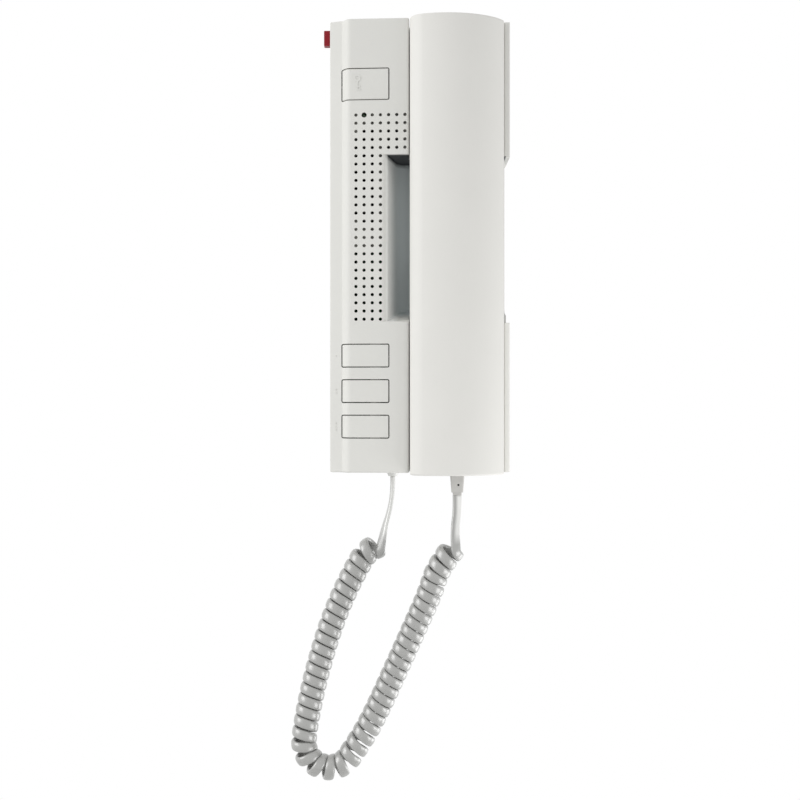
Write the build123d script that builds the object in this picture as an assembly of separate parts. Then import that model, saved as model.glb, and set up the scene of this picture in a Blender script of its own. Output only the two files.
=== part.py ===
from build123d import *

import os
from math import cos, dist, pi, radians, sin, sqrt, tan

# A wall-mounted audio intercom: a base with push buttons and a grille, a handset that lies in its cradle,
# and the curly cord between them. Lengths are in millimetres.
# The wall is the plane y = 0, and the intercom stands in front of it, at negative y. A depth here is a
# distance in front of the wall. x runs to the right and z upwards, from the middle of the base's back.

overrun = 1.0               # how far a cut runs past what it cuts
fit_gap = 0.05              # radial clearance of a running or screwed fit
seat_gap = 0.1              # between a loose piece and what it lies on

# Base cover
base_width = 89.0
base_height = 222.6
shell = 2.2
shadow_gap = 0.4            # between the cover's back edge and the wall
side_depth = 39.0           # where the left side turns into the flank
flank_width = 6.2
flank_rise = 2.6
step_width = 2.4
step_rise = 4.6
face_rise = 2.5             # the front face comes forward towards the handset
brow_radius = 3.5
crease_radius = 1.0
edge_radius = 0.8
column_width = 39.0         # the part of the base that stands beside the handset
tray_depth = 26.0           # the floor that the handset's ends lie on
rim_width = 2.9
rim_depth = 38.5

# Finger recess behind the handset's grip
ear_bridge = 16.5           # from the ear cup's pocket down to the recess
mic_bridge = 29.6           # from the mouthpiece's pocket up to it
recess_floor = 13.0
recess_mouth = 11.0         # how far it reaches into the column at the face
recess_heel = 5.4           # and at its floor
recess_slope = 6.4          # how much its bottom wall climbs inwards
recess_radius = 2.5
heel_radius = 7.0           # where its left wall runs into its floor
lip_radius = 3.0
recess_setback = 1.2        # how far the base's right side steps in there

# Buttons
button_width = 23.7         # the windows, all of one width
door_height = 15.9
door_drop = 24.2            # from the base's top edge to the door button's window
service_height = 11.7
service_pitch = 17.4
service_count = 3
service_lift = 16.8         # from the base's bottom edge to the lowest window
button_gap = 0.48
button_radius = 0.95
button_bevel = 0.25
button_wall = 1.6
button_skirt = 6.0          # the cap's side walls, from the crease inwards
button_travel = 1.2
hook_reach = 1.1            # retaining hooks behind the window's edges
hook_width = 5.0
hook_thickness = 1.6
hook_inset = 4.0            # from the cap's right end
hook_gap = 0.25
stem_width = 4.0
relief = 0.25               # height of the raised marks
key_ring = 1.7
key_hole = 0.9
key_shaft = 0.35
key_length = 6.0
key_tooth = 1.2
pip_radius = 0.4
pip_pitch = 1.6

# Grille
hole_radius = 0.82
grille_pitch = 4.0
grille_clear = 10.5         # at least this far above the top service button
grille_columns = 4
wide_rows = 5               # these rows run on above the recess
wide_columns = 7
grille_inset = 13.0         # from the left side to the first column
grille_drop = 47.3          # from the top edge to the first row
led_hole_radius = 1.3
led_column = 1

# Wall plate
plate_thickness = 2.5
plate_gap = 0.3
plate_rim = 3.0
plate_rim_width = 1.6
wall_hole_radius = 2.25
wall_hole_spacing = 60.0
wall_hole_offset = 12.0     # right of the base's middle
entry_width = 22.0          # the opening for the wall cable
entry_height = 24.0
entry_drop = 73.0           # its middle below the base's middle
post_radius = 3.6

# Circuit board and what it carries
board_depth = 22.4          # its back
board_thickness = 1.6
board_gap = 0.9             # to the cover's side wall
board_width = 24.3
board_foot = 31.8           # its width below the recess
board_top_gap = 5.0
board_bottom_gap = 11.0
board_screw_inset = 3.6
board_screw_rows = (0.05, 0.31, 0.58, 0.92)
switch_width = 6.0
switch_height = 3.6
switch_floor = 0.2
plunger_radius = 1.7
plunger_height = 6.0        # above the board
terminal_width = 8.6
terminal_height = 9.5
terminal_poles = 6
terminal_pitch = 5.08
terminal_drop = 2.0         # its top end below the base's middle
terminal_screw_radius = 1.9
terminal_well = 2.6
capacitor_radius = 3.2
capacitor_height = 11.0
capacitor_count = 2
chip_width = 7.6
chip_length = 18.0
chip_height = 2.6
plug_base_width = 6.4
plug_base_length = 8.0
plug_base_height = 6.0

# Call speaker and its bracket
bracket_width = 15.1
bracket_margin = 2.8        # left of the first column of holes
bracket_thickness = 1.6
bracket_back = 42.2         # depth of its back face
bracket_top_rows = 2
bracket_bar_rows = 3        # rows of holes that its lower bar lies behind
bracket_bar_row = 14
bracket_chamfer = 5.0
stake_radius = 0.9
speaker_width = 14.6
speaker_height = 44.0
speaker_depth = 7.6
speaker_rim = 1.4
cone_depth = 2.2
magnet_radius = 5.6
magnet_height = 3.4

# Indicator lamp
led_radius = 1.5
led_flange = 1.9
led_flange_height = 1.0
led_length = 5.0
led_leg = 0.5
led_leg_spread = 1.27

# Volume slider, a coloured lever in the left side
slider_height = 7.5
slider_depth = 30.0         # depth of its middle
slider_thickness = 5.0
slider_reach = 3.3          # how far it stands out
slider_drop = 2.9           # its top below the base's top edge
slider_travel = 8.0
slider_gap = 0.3
slider_flange = 0.9
slider_lip = 0.4
finger_length = 2.6
finger_width = 2.1
finger_depth = 27.0
finger_thickness = 2.0
slide_switch_width = 4.6
slide_switch_height = 4.6

# Hook switch: the plunger that the handset presses in
hook_drop = 9.1             # below the ear cup's pocket
hook_radius = 3.0
hook_flange = 4.6
hook_flange_height = 1.5
hook_tail = 1.5
hook_guide = 3.4
hook_guide_height = 6.5
hook_travel = 4.0
hook_proud = 0.5            # its tip in front of the tray, with the handset on
spring_wire = 0.3
spring_radius = 2.5
spring_turns = 6
lever_switch_width = 6.0
lever_switch_length = 12.8
lever_switch_height = 10.4
lever_width = 3.0
lever_thickness = 0.3
lever_overlap = 1.2

# Cover screws
screw_radius = 1.45
screw_head = 2.9
screw_head_height = 2.0
screw_length = 14.0
screw_head_gap = 0.5
screw_seat = 3.8            # depth of the head's recess
screw_inset = 8.5           # right of the column
screw_margin = 8.3          # from the base's top or bottom edge
boss_radius = 4.0
boss_length = 4.0

# Handset
handset_gap = 0.4           # to the column
handset_rim_gap = 0.35      # to the right rim
handset_overhang = 1.0      # below the base
handset_shell = 2.0
crown_depth = 60.3          # its furthest point from the wall
crown_fall = 0.4985         # how far the right edge lies back from it, in shares of the handset's thickness
crown_share = 0.398         # where the crown lies across the handset
shoulder_radius = 10.0
handset_edge = 0.9
back_gap = 0.6              # from the tray's floor to the handset
grip_share = 0.338          # how deep the grip's back lies, in the same shares
grip_margin = 3.2           # the grip ends this far inside the recess
grip_ramp = 9.0
grip_radius = 7.0
parting_share = 0.427
parting_gap = 0.3
ear_radius = 18.5
ear_margin = 31.2           # its middle from the handset's top
mic_radius = 12.5
mic_margin = 32.3           # its middle from the handset's bottom
cup_depth = 18.5            # depth of the cups' faces
cup_edge = 1.2
pocket_gap = 0.5
pocket_floor_gap = 0.9
sound_hole = 0.9
ear_ring_radius = 4.2
ear_ring_holes = (6, 12)
mic_ring_radius = 3.4
mic_ring_holes = (6,)
handset_screw_margin = 6.9  # from the handset's top
grip_screw_drop = 19.0      # below the recess's bottom
handset_screw_radius = 1.3
handset_screw_head = 2.7
handset_screw_length = 11.0
handset_boss = 3.5
cup_boss = 4.2

# Inside the handset
gasket_width = 4.0
gasket_thickness = 1.4
capsule_gap = 0.4
capsule_height = 7.0
capsule_step = 3.0
mic_capsule_radius = 4.85
mic_capsule_height = 6.5
boot_height = 7.4
weight_width = 20.0
weight_height = 44.0
weight_thickness = 6.0
lead_radius = 0.8

# Handset plug and socket
plug_offset = 23.25         # from the handset's left side
plug_share = 0.546          # its depth, in shares of the handset's thickness
plug_width = 7.0
plug_thickness = 5.6
plug_length = 8.6
plug_taper = 0.82
plug_tip_width = 4.4
plug_tip_length = 1.3
plug_neck_width = 5.2
plug_neck_thickness = 3.8
plug_neck_length = 9.0
plug_eye = 0.53
plug_eye_drop = 4.9
socket_wall = 1.4
socket_length = 11.0

# Cord
wire_radius = 1.6
curl_radius = 4.5
half_turns = 93
turn_shares = ((0, 1.2), (4, 1.0), (34, 1.0), (40, 1.16), (52, 1.16), (58, 0.95), (88, 0.95), (93, 1.15))
gland_offset = 8.0          # left of the column's right edge
gland_depth = 27.0
gland_length = 2.4
gland_radius = 3.2
gland_nose = 2.3
gland_neck = 2.5
gland_flange = 3.4
gland_flange_length = 1.2
cord_tail_length = 13.0     # from the gland's nose to the board's connector, inside

# The coil's middle line, steered by these points from the base's end round the bend to the handset's end
coil_route = [
    (-22.0, -27.4, -149.0), (-26.6, -27.4, -151.2), (-31.2, -27.6, -158.8), (-36.3, -28.3, -168.7),
    (-41.0, -29.1, -179.2), (-45.4, -30.1, -191.0), (-49.2, -31.1, -203.6), (-52.6, -32.0, -216.2),
    (-55.4, -33.0, -229.2), (-57.3, -33.8, -240.2), (-58.0, -34.4, -248.6), (-53.5, -35.1, -255.7),
    (-45.5, -35.7, -258.6), (-37.5, -36.2, -256.0), (-32.7, -36.8, -249.0), (-26.0, -37.8, -238.4),
    (-19.4, -38.9, -225.0), (-13.2, -40.0, -211.2), (-7.0, -41.1, -197.4), (-0.9, -42.2, -183.6),
    (4.9, -43.3, -170.4), (8.7, -44.2, -158.0), (15.3, -45.0, -149.5),
]

left, right = -base_width / 2, base_width / 2
bottom, top = -base_height / 2, base_height / 2
column_right = left + column_width
crease_x, crease_depth = left + flank_width, side_depth + flank_rise
brow_x, brow_depth = crease_x + step_width, crease_depth + step_rise
face_depth = brow_depth + face_rise
rim_left = right - rim_width
handset_bottom, handset_top = bottom - handset_overhang, top
ear_z, mic_z = handset_top - ear_margin, handset_bottom + mic_margin
ear_pocket_radius, mic_pocket_radius = ear_radius + pocket_gap, mic_radius + pocket_gap
recess_top = ear_z - ear_pocket_radius - ear_bridge
recess_bottom = mic_z + mic_pocket_radius + mic_bridge
recess_z = (recess_top + recess_bottom) / 2
mouth_x, heel_x = column_right - recess_mouth, column_right - recess_heel

button_left = crease_x - button_gap
button_right = button_left + button_width
button_x = (button_left + button_right) / 2
door_z = top - door_drop - door_height / 2
service_z = [bottom + service_lift + service_height / 2 + i * service_pitch for i in range(service_count)]
first_hole_x, first_hole_z = left + grille_inset, top - grille_drop
grille_height = first_hole_z - service_z[-1] - service_height / 2 - grille_clear
grille_rows = int(grille_height / grille_pitch) + 1
led_x = first_hole_x + led_column * grille_pitch

board_front = board_depth + board_thickness
board_left = left + shell + board_gap
board_right = board_left + board_width
board_top, board_bottom = top - shell - board_top_gap, bottom + shell + board_bottom_gap
wall_face_inside = left + shell

handset_left, handset_right = column_right + handset_gap, rim_left - handset_rim_gap
handset_x = (handset_left + handset_right) / 2
handset_back = tray_depth + back_gap
handset_rise = crown_depth - handset_back
crown_drop = crown_fall * handset_rise
grip_depth, parting_depth, plug_depth = (handset_back + share * handset_rise
                                         for share in (grip_share, parting_share, plug_share))
crown_x = handset_left + crown_share * (handset_right - handset_left)
crown_reach = handset_right - crown_x
crown_radius = (crown_reach ** 2 + crown_drop ** 2) / (2 * crown_drop)
pocket_floor = cup_depth - pocket_floor_gap
handset_screw_z = (handset_top - handset_screw_margin, recess_bottom - grip_screw_drop)

hook_z = ear_z - ear_pocket_radius - hook_drop
hook_tip = tray_depth + hook_proud
hook_flange_depth = tray_depth - shell - seat_gap - hook_travel - hook_flange_height
plug_x = handset_left + plug_offset
gland_x = column_right - gland_offset
gland_end = bottom - gland_length
plug_end = handset_bottom - plug_length - plug_tip_length
post_x = (board_left + board_screw_inset, board_right - board_screw_inset)
screw_x = column_right + screw_inset
screw_z = (top - screw_margin, bottom + screw_margin)

socket_top = handset_bottom + handset_shell + 2 * seat_gap + socket_length
capsule_floor = cup_depth + handset_shell + gasket_thickness + 2 * seat_gap
ear_lead_depth = capsule_floor + capsule_height + seat_gap
mic_lead_depth = capsule_floor + mic_capsule_height + seat_gap

# The free leads, from the gland and from the plug down to the coil
base_lead_route = [
    (gland_x, -gland_depth, gland_end), (gland_x, -gland_depth, -121.0), (-15.0, -28.7, -130.5),
    (-17.9, -31.9, -139.6), (-19.0, -31.9, -146.4),
]
handset_lead_route = [
    (plug_x, -plug_depth, plug_end), (plug_x, -plug_depth, -130.4), (16.9, -48.2, -138.6),
    (17.2, -49.2, -145.2),
]

# The wires inside the handset, from the socket to the two capsules
earpiece_lead_route = [
    (16.7, -plug_depth, socket_top), (16.7, -plug_depth, handset_bottom + 18.3),
    (14.2, -plug_depth - 1.0, handset_bottom + 28.3), (9.6, -plug_depth - 3.5, handset_bottom + 46.3),
    (8.6, -plug_depth - 4.2, recess_bottom + 3.4), (9.0, -plug_depth - 4.4, recess_z),
    (8.6, -plug_depth - 4.0, recess_top - 8.6), (11.8, -plug_depth, ear_z - 22.1),
    (17.0, -plug_depth + 6.5, ear_z - 8.1),
    (handset_x, -plug_depth + 10.8, ear_z), (handset_x, -ear_lead_depth, ear_z),
]
microphone_lead_route = [
    (19.6, -plug_depth, socket_top), (19.6, -plug_depth, handset_bottom + 19.3),
    (19.7, -plug_depth + 5.0, handset_bottom + 27.3), (handset_x, -plug_depth + 11.6, mic_z), (handset_x, -mic_lead_depth, mic_z),
]


on_end = (Align.CENTER, Align.CENTER, Align.MIN)


def block(x0, x1, d0, d1, z0, z1):
    """A box between two x, two depths and two z."""
    return Pos(x0, -d1, z0) * Box(x1 - x0, d1 - d0, z1 - z0, align=(Align.MIN, Align.MIN, Align.MIN))


def slab(x, z, width, height, d0, d1):
    """A box centred on x and z, between two depths."""
    return block(x - width / 2, x + width / 2, d0, d1, z - height / 2, z + height / 2)


def rod(x, z, radius, d0, d1):
    """A round bar along the depth, between two depths."""
    return Pos(x, -d0, z) * Rot(X=90) * Cylinder(radius, d1 - d0, align=on_end)


def pillar(x, depth, radius, z0, z1, nose=None):
    """A round bar along z, or a cone where a nose radius is given for its upper end."""
    if nose is None:
        return Pos(x, -depth, z0) * Cylinder(radius, z1 - z0, align=on_end)
    return Pos(x, -depth, z0) * Cone(radius, nose, z1 - z0, align=on_end)


def plan(points):
    """A flat face at z = 0 from corners given as x and depth, counter-clockwise as seen from above."""
    return Polygon(*[(x, -depth) for x, depth in points], align=None)


def side_view(points):
    """A flat face at x = 0 from corners given as depth and z."""
    return Plane.YZ * Polygon(*[(-depth, z) for depth, z in points], align=None)


def soften(face, corner, radius):
    """Round the face's vertex that lies nearest to a point."""
    return fillet(face.vertices().sort_by_distance(Vector(*corner))[:1], radius)


def upright(face, z0, z1):
    """Carry a plan along z."""
    return Pos(0, 0, z0) * extrude(face, z1 - z0, dir=(0, 0, 1))


def across(face, x0, x1):
    """Carry a side view along x."""
    return Pos(x0, 0, 0) * extrude(face, x1 - x0, dir=(1, 0, 0))


def line_x(depth):
    """x of the recess's slanting left wall at a depth."""
    return heel_x + (mouth_x - heel_x) * (depth - recess_floor) / (face_depth - recess_floor)


def cover_plan(back):
    """The base's outline from above, without its right rim, closed at a given back depth."""
    return plan([
        (left, back), (left, side_depth), (crease_x, crease_depth), (brow_x, brow_depth),
        (column_right, face_depth), (column_right, tray_depth), (right, tray_depth), (right, back),
    ])


def rounded_cover_plan(back):
    """The outline with its brow, crease and outer edges rounded."""
    outline = cover_plan(back)
    outline = soften(outline, (brow_x, -brow_depth), brow_radius)
    outline = soften(outline, (crease_x, -crease_depth), crease_radius)
    outline = soften(outline, (left, -side_depth), edge_radius)
    return soften(outline, (column_right, -face_depth), edge_radius)


def front_inside(x):
    """Depth of the cover's inner face behind the front face."""
    slope = face_rise / (column_right - brow_x)
    return brow_depth + (x - brow_x) * slope - shell * sqrt(1 + slope ** 2)


def recess(grow):
    """The finger recess as a cut, or that cut grown by a wall's thickness."""
    floor_plan = plan([
        (line_x(crown_depth), crown_depth), (right + overrun, crown_depth),
        (right + overrun, recess_floor), (heel_x, recess_floor),
    ])
    foot_z = recess_bottom + recess_slope
    side = side_view([
        (crown_depth, recess_bottom), (face_depth, recess_bottom), (recess_floor, foot_z),
        (recess_floor, recess_top), (crown_depth, recess_top),
    ])
    if grow:
        floor_plan = offset(floor_plan, grow, kind=Kind.INTERSECTION)
        side = offset(side, grow, kind=Kind.INTERSECTION)
    floor_plan = soften(floor_plan, (heel_x, -recess_floor), heel_radius + grow)
    for z in (foot_z, recess_top):
        side = soften(side, (0, -recess_floor, z), recess_radius + grow)
    return upright(floor_plan, bottom, top) & across(side, left, right + 2 * overrun)


def pockets(grow):
    """The two round pockets in the cradle, as cuts or grown by a wall's thickness."""
    ear = rod(handset_x, ear_z, ear_pocket_radius + grow, pocket_floor - grow, tray_depth + overrun)
    mic = rod(handset_x, mic_z, mic_pocket_radius + grow, pocket_floor - grow, tray_depth + overrun)
    return ear + mic


def grille_holes():
    """The grille's holes and the larger hole for the lamp."""
    holes = []
    for row in range(grille_rows):
        for column in range(wide_columns if row < wide_rows else grille_columns):
            lamp = row == 0 and column == led_column
            radius = led_hole_radius if lamp else hole_radius
            x, z = first_hole_x + column * grille_pitch, first_hole_z - row * grille_pitch
            holes.append(rod(x, z, radius, front_inside(x) - overrun, face_depth + overrun))
    return holes


def window(z, height, inset=0.0, depth=board_front):
    """The straight opening of a button, or what fills it with a gap."""
    opening = block(button_left + inset, button_right - inset, depth, crown_depth,
                    z - height / 2 + inset, z + height / 2 - inset)
    return fillet(opening.edges().filter_by(Axis.Y), button_radius - inset)


def pips():
    """Raised dots on the flank beside the service buttons: one, two and three, counted from the top."""
    dots = []
    x = left + flank_width / 2
    surface = side_depth + flank_rise / 2
    for number, z in enumerate(reversed(service_z), start=1):
        for i in range(number):
            dot_z = z + (i - (number - 1) / 2) * pip_pitch
            dots.append(rod(x, dot_z, pip_radius, surface - shell, surface + relief))
    return dots


def inside_plan(wall):
    """The outline moved inwards by a wall's thickness, or outwards by a negative one, open at the back."""
    return offset(cover_plan(-shell - overrun), -wall, kind=Kind.INTERSECTION)


def cover_blank():
    """The cover's outer shape, with its right rim, before anything is cut."""
    body = upright(rounded_cover_plan(shadow_gap), bottom, top)
    ends = body.faces().filter_by(Axis.Z).edges()
    front_ends = [edge for edge in ends if edge.center().Y < -tray_depth - edge_radius]
    body = fillet(front_ends, edge_radius)
    rim = block(rim_left, right, tray_depth - shell, rim_depth, bottom, top)
    rim = fillet(rim.edges().filter_by(Axis.Z).sort_by(Axis.Y)[:2], edge_radius)
    waist = block(right - recess_setback, right + overrun, -overrun, crown_depth, recess_bottom, recess_top)
    rim -= block(rim_left - overrun, right + overrun, tray_depth, crown_depth, recess_bottom, recess_top)
    return body + rim - waist


def front_cover():
    """The base's moulded front: a shell with the tray, the recess, the pockets, windows, grille and slots."""
    hollow = upright(inside_plan(shell), bottom + shell, top - shell) - recess(shell) - pockets(shell)
    for z in screw_z:
        hollow -= rod(screw_x, z, boss_radius, tray_depth - shell - boss_length, tray_depth)
    cover = cover_blank() - recess(0) - pockets(0) - hollow
    lip = cover.edges().filter_by(Axis.Z).sort_by_distance(Vector(mouth_x, -face_depth, recess_z))[:1]
    cover = fillet(lip, lip_radius)
    out = tray_depth + overrun
    cuts = [window(door_z, door_height)] + [window(z, service_height) for z in service_z]
    cuts += grille_holes()
    cuts.append(rod(handset_x, hook_z, hook_radius + fit_gap, tray_depth - shell - overrun, out))
    cuts.append(pillar(gland_x, gland_depth, gland_neck + fit_gap, bottom - overrun, bottom + 2 * shell))
    cuts.append(slider_slot())
    for z in screw_z:
        cuts.append(rod(screw_x, z, screw_head + screw_head_gap, tray_depth - screw_seat, out))
        cuts.append(rod(screw_x, z, screw_radius + 2 * fit_gap, recess_floor, tray_depth))
    return cover - cuts + stakes() + pips()


def slider_slot():
    """The upright slot in the left side that the volume lever runs in."""
    lever_top = top - slider_drop
    reach = slider_thickness / 2 + slider_gap
    return block(left - overrun, wall_face_inside + overrun, slider_depth - reach, slider_depth + reach,
                 lever_top - slider_height - slider_travel - slider_gap, lever_top + slider_gap)


def stake_places():
    """x and z of the two pins that hold the speaker's bracket, each midway between four holes."""
    x = first_hole_x + (grille_columns - 3 / 2) * grille_pitch
    rows = (1 / 2, bracket_bar_row + bracket_bar_rows / 2)
    return [(x, first_hole_z - row * grille_pitch) for row in rows]


def stakes():
    """Those pins, on the cover's inside."""
    return [rod(x, z, stake_radius, bracket_back, front_inside(x) + shell / 2) for x, z in stake_places()]


def board_posts():
    """Places of the posts that carry the circuit board."""
    rows = [board_bottom + share * (board_top - board_bottom) for share in board_screw_rows]
    return [(post_x[(i + 1) % 2], z) for i, z in enumerate(rows)]


def wall_plate():
    """The back plate, which is screwed to the wall and carries everything else."""
    x0, x1 = wall_face_inside + plate_gap, right - shell - plate_gap
    z0, z1 = bottom + shell + plate_gap, top - shell - plate_gap
    plate = block(x0, x1, 0, plate_thickness, z0, z1)
    edge = block(x0, x1, 0, plate_thickness + plate_rim, z0, z1)
    edge -= block(x0 + plate_rim_width, x1 - plate_rim_width, -overrun, tray_depth,
                  z0 + plate_rim_width, z1 - plate_rim_width)
    plate += edge
    for x, z in board_posts():
        plate += rod(x, z, post_radius, 0, board_depth)
    for z in screw_z:
        plate += rod(screw_x, z, boss_radius, 0, tray_depth - shell - boss_length - seat_gap)
    plate += rod(handset_x, hook_z, hook_guide, 0, plate_thickness + hook_guide_height)
    for x, z in board_posts():
        plate -= rod(x, z, screw_radius + fit_gap, plate_thickness, board_front)
    for z in screw_z:
        plate -= rod(screw_x, z, screw_radius + fit_gap, plate_thickness, tray_depth)
    plate -= rod(handset_x, hook_z, hook_tail + fit_gap, plate_thickness, tray_depth)
    for side in (-1, 1):
        plate -= rod(wall_hole_offset, side * wall_hole_spacing / 2, wall_hole_radius, -overrun, tray_depth)
    plate -= slab(handset_x, -entry_drop, entry_width, entry_height, -overrun, plate_thickness + overrun)
    return plate


def screw(x, z, seat, radius, head, head_height, length):
    """A pan-head screw whose head lies on a seat depth, with its shank towards the wall."""
    shank = rod(x, z, radius, seat - length, seat)
    cap = rod(x, z, head, seat, seat + head_height)
    half, out = seat + head_height / 2, seat + 2 * head_height
    cross = slab(x, z, head, head_height / 4, half, out) + slab(x, z, head_height / 4, head, half, out)
    return (shank + cap - cross).solid()


def cover_screws():
    """The two screws that hold the cover, in the cradle's floor under the handset."""
    seat = tray_depth - screw_seat
    size = (screw_radius, screw_head, screw_head_height, screw_length)
    return Compound([screw(screw_x, z, seat, *size) for z in screw_z])


def board_screws():
    """The screws that hold the circuit board on its posts."""
    size = (screw_radius, screw_head, screw_head_height, screw_length / 2)
    return Compound([screw(x, z, board_front, *size) for x, z in board_posts()])


def circuit_board():
    """The board: a strip beside the recess that widens below it."""
    foot_top = recess_bottom - 2 * shell
    board = block(board_left, board_right, board_depth, board_front, board_bottom, board_top)
    board += block(board_left, board_left + board_foot, board_depth, board_front, board_bottom, foot_top)
    for x, z in board_posts():
        board -= rod(x, z, screw_radius + 2 * fit_gap, board_depth - overrun, board_front + overrun)
    return board


def key_switch(z):
    """A square push switch on the board, hollow for its plunger."""
    body = slab(button_x, z, switch_width, switch_width, board_front, board_front + switch_height)
    body = chamfer(body.edges().filter_by(Axis.Y), button_radius / 2)
    floor = board_front + switch_floor
    return body - rod(button_x, z, plunger_radius + fit_gap, floor, board_front + plunger_height)


def switch_plunger(z):
    """The round plunger that a button pushes into its switch."""
    low = board_front + switch_floor + seat_gap + button_travel
    return rod(button_x, z, plunger_radius, low, board_front + plunger_height)


def button(z, height):
    """A button cap that follows the cover's front, with its skirt, stem and retaining hooks."""
    back = crease_depth - button_skirt
    outer = window(z, height, button_gap, back) & upright(rounded_cover_plan(shadow_gap), bottom, top)
    corner_z = height / 2 - 2 * button_radius
    front_edges = [edge for edge in outer.edges()
                   if edge.center().Y < button_gap - crease_depth and abs(edge.center().Z - z) > corner_z]
    inset = button_gap + button_wall
    room = block(button_left + inset, button_right - inset, back - overrun, crown_depth,
                 z - height / 2 + inset, z + height / 2 - inset)
    cap = chamfer(front_edges, button_bevel) - (room & upright(inside_plan(button_wall), bottom, top))
    stem = slab(button_x, z, stem_width, stem_width, board_front + plunger_height, crown_depth)
    cap += stem & upright(inside_plan(button_wall / 2), bottom, top)
    hook_x = button_right - button_gap - hook_inset - hook_width
    hook_front = front_inside(hook_x) - hook_gap
    for side in (-1, 1):
        ends = sorted((z + side * (height / 2 - inset), z + side * (height / 2 + hook_reach)))
        cap += block(hook_x, hook_x + hook_width, hook_front - hook_thickness, hook_front, *ends)
    return cap


def door_button():
    """The door button, with a small raised key on it."""
    key_x = button_left + button_width / 3
    bow_z, bit_z = door_z + key_length / 2, door_z - key_length / 2
    key = rod(key_x, bow_z, key_ring, crease_depth, crown_depth)
    key += block(key_x - key_shaft, key_x + key_shaft, crease_depth, crown_depth, bit_z, bow_z)
    for z in (bit_z, bit_z + key_tooth + key_shaft):
        key += block(key_x, key_x + key_tooth + key_shaft, crease_depth, crown_depth, z, z + 2 * key_shaft)
    key -= rod(key_x, bow_z, key_hole, crease_depth - overrun, crown_depth + overrun)
    skin = upright(inside_plan(-relief), bottom, top) - upright(inside_plan(button_wall / 2), bottom, top)
    return button(door_z, door_height) + (key & skin)


def service_button(z):
    """One of the lower buttons."""
    return button(z, service_height)


def volume_slider():
    """The coloured lever, with the flange that keeps it in and the finger that works the switch."""
    z1 = top - slider_drop
    z0 = z1 - slider_height
    d0, d1 = slider_depth - slider_thickness / 2, slider_depth + slider_thickness / 2
    inner = wall_face_inside + slider_gap
    flange = inner + slider_flange
    lever = block(left - slider_reach, inner, d0, d1, z0, z1)
    lever = fillet(lever.faces().sort_by(Axis.X)[0].edges(), slider_lip)
    lever += block(inner, flange, d0 - 2 * slider_lip, d1 + 2 * slider_lip, z0 - slider_lip, z1 + slider_lip)
    half = finger_width / 2
    middle = (z0 + z1) / 2
    finger = block(inner, flange + finger_length, finger_depth, finger_depth + finger_thickness,
                   middle - half, middle + half)
    return lever + finger


def slide_switch():
    """The switch on the board that the volume lever's finger runs in."""
    x0 = wall_face_inside + slider_gap + slider_flange + slider_gap
    middle = top - slider_drop - slider_height / 2
    z1 = middle + finger_width / 2 + slider_gap + slider_flange
    z0 = middle - finger_width / 2 - slider_travel - slider_gap - slider_flange
    body = block(x0, x0 + slide_switch_width, board_front, board_front + slide_switch_height, z0, z1)
    groove = block(x0 - overrun, x0 + finger_length + slider_gap, finger_depth - slider_gap, crown_depth,
                   z0 + slider_flange, z1 - slider_flange)
    return body - groove


def bracket_opening():
    """x and z of the speaker's middle, and the height of the bracket's opening round it."""
    high = first_hole_z - (bracket_top_rows - 1 / 2) * grille_pitch
    low = first_hole_z - (bracket_bar_row - 1 / 2) * grille_pitch
    return first_hole_x - bracket_margin + bracket_width / 2, (high + low) / 2, high - low


def speaker_bracket():
    """The pale clamp behind the grille: a bar above and a bar below the speaker, joined at its sides."""
    x, z, height = bracket_opening()
    x0, x1 = x - bracket_width / 2, x + bracket_width / 2
    arm_end = column_right - shell - bracket_thickness
    back, front = bracket_back, bracket_back + bracket_thickness
    behind, before = back - overrun, front + overrun
    bar_top = first_hole_z + grille_pitch / 2 + bracket_thickness / 2
    bar_bottom = first_hole_z - (bracket_bar_row + bracket_bar_rows - 1 / 2) * grille_pitch
    bracket = block(x0, x1, back, front, bar_bottom, bar_top)
    bracket += block(x0, arm_end, back, front, z + height / 2, bar_top)
    opening = slab(x, z, bracket_width - 2 * bracket_thickness, height, behind, before)
    bracket -= chamfer(opening.edges().filter_by(Axis.Y).sort_by(Axis.X)[:2], bracket_chamfer)
    bracket -= rod(led_x, first_hole_z, led_flange + slider_gap, behind, before)
    for stake_x, stake_z in stake_places():
        bracket -= rod(stake_x, stake_z, stake_radius + fit_gap, behind, before)
    return bracket


def stadium(x, z, width, height, d0, d1):
    """An upright block with half-round ends."""
    body = slab(x, z, width, height, d0, d1)
    return fillet(body.edges().filter_by(Axis.Y), width / 2 - fit_gap)


def ringer_speaker():
    """The call speaker's frame and magnet."""
    x, z, height = bracket_opening()
    front = bracket_back - seat_gap
    back = front - speaker_depth + magnet_height
    well_width, well_height = speaker_width - 2 * speaker_rim, speaker_height - 2 * speaker_rim
    body = stadium(x, z, speaker_width, speaker_height, back, front)
    body -= stadium(x, z, well_width, well_height, front - cone_depth, front + overrun)
    return body + rod(x, z, magnet_radius, front - speaker_depth, back)


def ringer_cone():
    """The call speaker's paper cone, sunk in its frame."""
    x, z, height = bracket_opening()
    front = bracket_back - seat_gap
    low = front - cone_depth + seat_gap
    inset = 2 * speaker_rim + seat_gap
    cone = stadium(x, z, speaker_width - inset, speaker_height - inset, low, low + cone_depth / 2)
    return cone - stadium(x, z, speaker_width / 2, speaker_height / 2, low + cone_depth / 4, front)


def status_led():
    """The indicator lamp, on two stiff legs that stand on the board."""
    x, z = led_x, first_hole_z
    tip = front_inside(x) - seat_gap
    dome = tip - led_radius
    low = tip - led_length
    lamp = rod(x, z, led_radius, low, dome) + Pos(x, -dome, z) * Sphere(led_radius)
    lamp += rod(x, z, led_flange, low, low + led_flange_height)
    for side in (-1, 1):
        lamp += slab(x + side * led_leg_spread, z, led_leg, led_leg, board_front, low + led_flange_height)
    return lamp


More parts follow.
